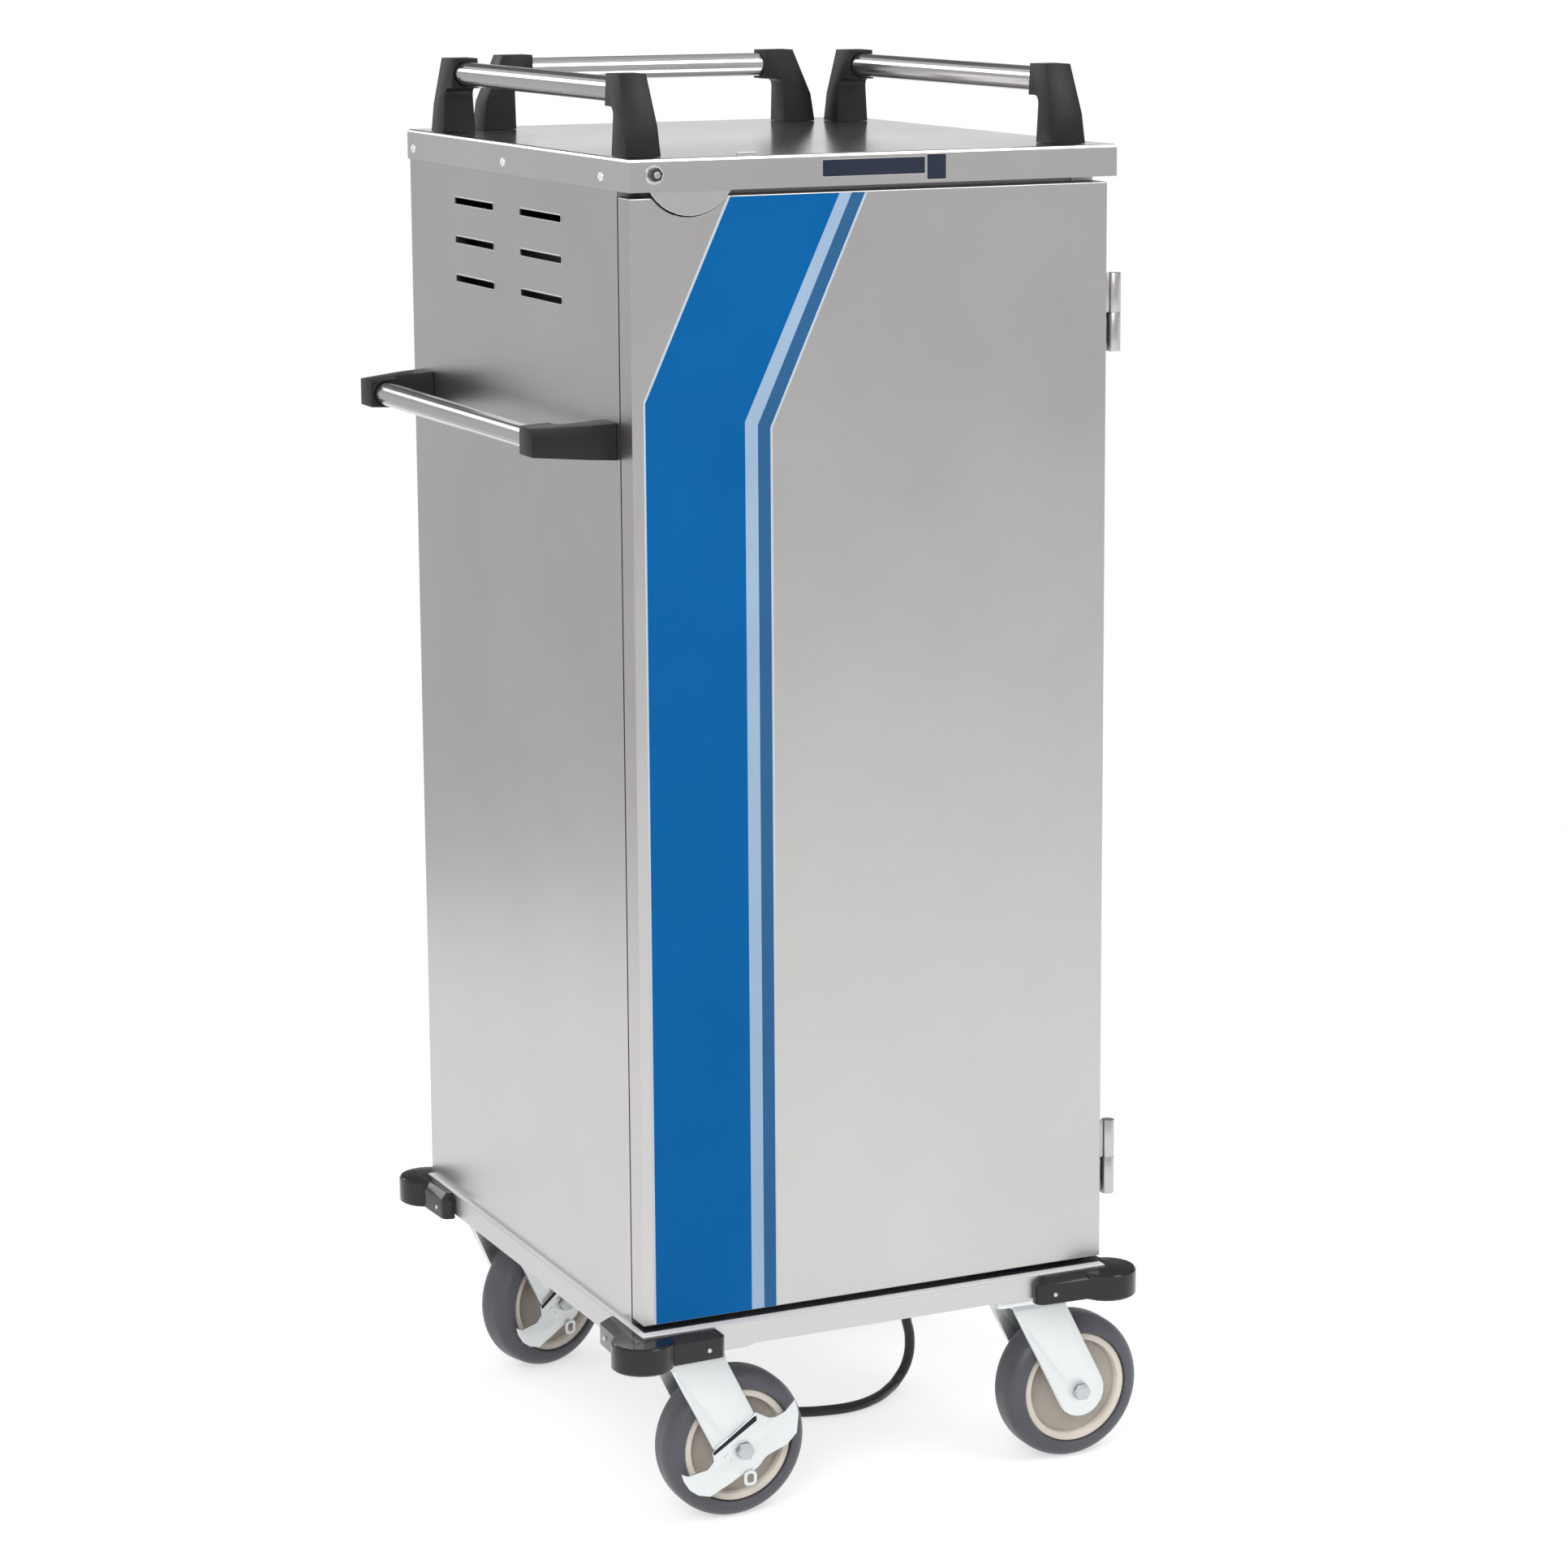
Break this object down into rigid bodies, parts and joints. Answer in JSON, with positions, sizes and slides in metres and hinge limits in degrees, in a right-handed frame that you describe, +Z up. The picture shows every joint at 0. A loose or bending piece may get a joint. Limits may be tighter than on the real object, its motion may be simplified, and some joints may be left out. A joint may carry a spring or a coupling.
{
  "type": "tray delivery cart",
  "caption": "enclosed stainless steel tray delivery cart on swivel casters, with a latched hinged door, push handle, top rails, corner bumpers and a power cord",
  "frame": {"origin": "on the floor under the middle of the cart's outer box, power cord left out", "axes": "+Z up, -Y towards the door side, -X towards the push handle side"},
  "size_m": [0.679, 0.9159, 1.5038],
  "materials": {
    "satin_steel": "satin stainless sheet with a fine vertical grain",
    "bright_steel": "polished stainless tube and bar",
    "zinc": "bright zinc-plated pressed steel",
    "black_plastic": "black moulded nylon, lightly grained",
    "black_bumper": "glossy black moulded vinyl",
    "grey_tyre": "smooth grey thermoplastic rubber tread",
    "cream_hub": "cream moulded polypropylene wheel core",
    "black_cord": "black vinyl cord jacket and moulded plug"
  },
  "bodies": {
    "cabinet": {"back_panel": "satin_steel", "back_rail_bar": "bright_steel", "back_rail_bracket_a": "black_plastic", "back_rail_bracket_b": "black_plastic", "base_frame": "satin_steel", "body_hinge_lower": "satin_steel", "body_hinge_upper": "satin_steel", "bumper_front_left": "black_bumper", "bumper_front_right": "black_bumper", "bumper_rear_left": "black_bumper", "bumper_rear_right": "black_bumper", "caster_plate_front_left": "zinc", "caster_plate_front_right": "zinc", "caster_plate_rear_left": "zinc", "caster_plate_rear_right": "zinc", "cord_coil": "black_cord", "cord_gland": "black_plastic", "floor_pan": "satin_steel", "header_rail": "satin_steel", "heater_box": "satin_steel", "latch_bolt": "zinc", "left_rail_bar": "bright_steel", "left_rail_bracket_a": "black_plastic", "left_rail_bracket_b": "black_plastic", "left_side_panel": "satin_steel", "left_tray_rack": "satin_steel", "plug": "black_cord", "power_cord": "black_cord", "push_handle_bar": "bright_steel", "push_handle_bracket_a": "black_plastic", "push_handle_bracket_b": "black_plastic", "right_rail_bar": "bright_steel", "right_rail_bracket_a": "black_plastic", "right_rail_bracket_b": "black_plastic", "right_side_panel": "satin_steel", "right_tray_rack": "satin_steel", "top_cap": "satin_steel"},
    "door": {"door_skin": "satin_steel", "door_inner_pan": "satin_steel", "door_hinge_upper": "satin_steel", "door_hinge_lower": "satin_steel"},
    "latch": {"latch_plate": "bright_steel"},
    "swivel_front_left": {"caster_fork_front_left": "zinc", "axle_front_left": "zinc"},
    "wheel_front_left": {"hub_front_left": "cream_hub", "tyre_front_left": "grey_tyre"},
    "brake_front_left": {"brake_pedal_front_left": "zinc"},
    "swivel_front_right": {"caster_fork_front_right": "zinc", "axle_front_right": "zinc"},
    "wheel_front_right": {"hub_front_right": "cream_hub", "tyre_front_right": "grey_tyre"},
    "swivel_rear_left": {"caster_fork_rear_left": "zinc", "axle_rear_left": "zinc"},
    "wheel_rear_left": {"hub_rear_left": "cream_hub", "tyre_rear_left": "grey_tyre"},
    "brake_rear_left": {"brake_pedal_rear_left": "zinc"},
    "swivel_rear_right": {"caster_fork_rear_right": "zinc", "axle_rear_right": "zinc"},
    "wheel_rear_right": {"hub_rear_right": "cream_hub", "tyre_rear_right": "grey_tyre"}
  },
  "joints": [
    {"name": "door_hinge", "type": "hinge", "parent": "cabinet", "child": "door", "pos_m": [0.28325, -0.3015, 1.2505], "axis": [0, 0, 1], "range_deg": [0, 270]},
    {"name": "latch_pivot", "type": "hinge", "parent": "cabinet", "child": "latch", "pos_m": [-0.23475, -0.3095, 1.4081], "axis": [0, -1, 0], "range_deg": [0, 15]},
    {"name": "front_left_swivel", "type": "hinge", "parent": "cabinet", "child": "swivel_front_left", "pos_m": [-0.19425, -0.2535, 0.187], "axis": [0, 0, 1], "continuous": true},
    {"name": "front_left_wheel_spin", "type": "hinge", "parent": "swivel_front_left", "child": "wheel_front_left", "pos_m": [-0.14175, -0.2535, 0.0803], "axis": [0, 1, 0], "continuous": true},
    {"name": "front_left_brake_rock", "type": "hinge", "parent": "swivel_front_left", "child": "brake_front_left", "pos_m": [-0.14175, -0.2535, 0.0803], "axis": [0, 1, 0], "range_deg": [0, 22]},
    {"name": "front_right_swivel", "type": "hinge", "parent": "cabinet", "child": "swivel_front_right", "pos_m": [0.20675, -0.2535, 0.187], "axis": [0, 0, 1], "continuous": true},
    {"name": "front_right_wheel_spin", "type": "hinge", "parent": "swivel_front_right", "child": "wheel_front_right", "pos_m": [0.25925, -0.2535, 0.0803], "axis": [0, 1, 0], "continuous": true},
    {"name": "rear_left_swivel", "type": "hinge", "parent": "cabinet", "child": "swivel_rear_left", "pos_m": [-0.19425, 0.2535, 0.187], "axis": [0, 0, 1], "continuous": true},
    {"name": "rear_left_wheel_spin", "type": "hinge", "parent": "swivel_rear_left", "child": "wheel_rear_left", "pos_m": [-0.14432, 0.26972, 0.0803], "axis": [-0.309, 0.9511, 0], "continuous": true},
    {"name": "rear_left_brake_rock", "type": "hinge", "parent": "swivel_rear_left", "child": "brake_rear_left", "pos_m": [-0.14432, 0.26972, 0.0803], "axis": [-0.309, 0.9511, 0], "range_deg": [0, 22]},
    {"name": "rear_right_swivel", "type": "hinge", "parent": "cabinet", "child": "swivel_rear_right", "pos_m": [0.20675, 0.2535, 0.187], "axis": [0, 0, 1], "continuous": true},
    {"name": "rear_right_wheel_spin", "type": "hinge", "parent": "swivel_rear_right", "child": "wheel_rear_right", "pos_m": [0.25925, 0.2535, 0.0803], "axis": [0, 1, 0], "continuous": true}
  ]
}
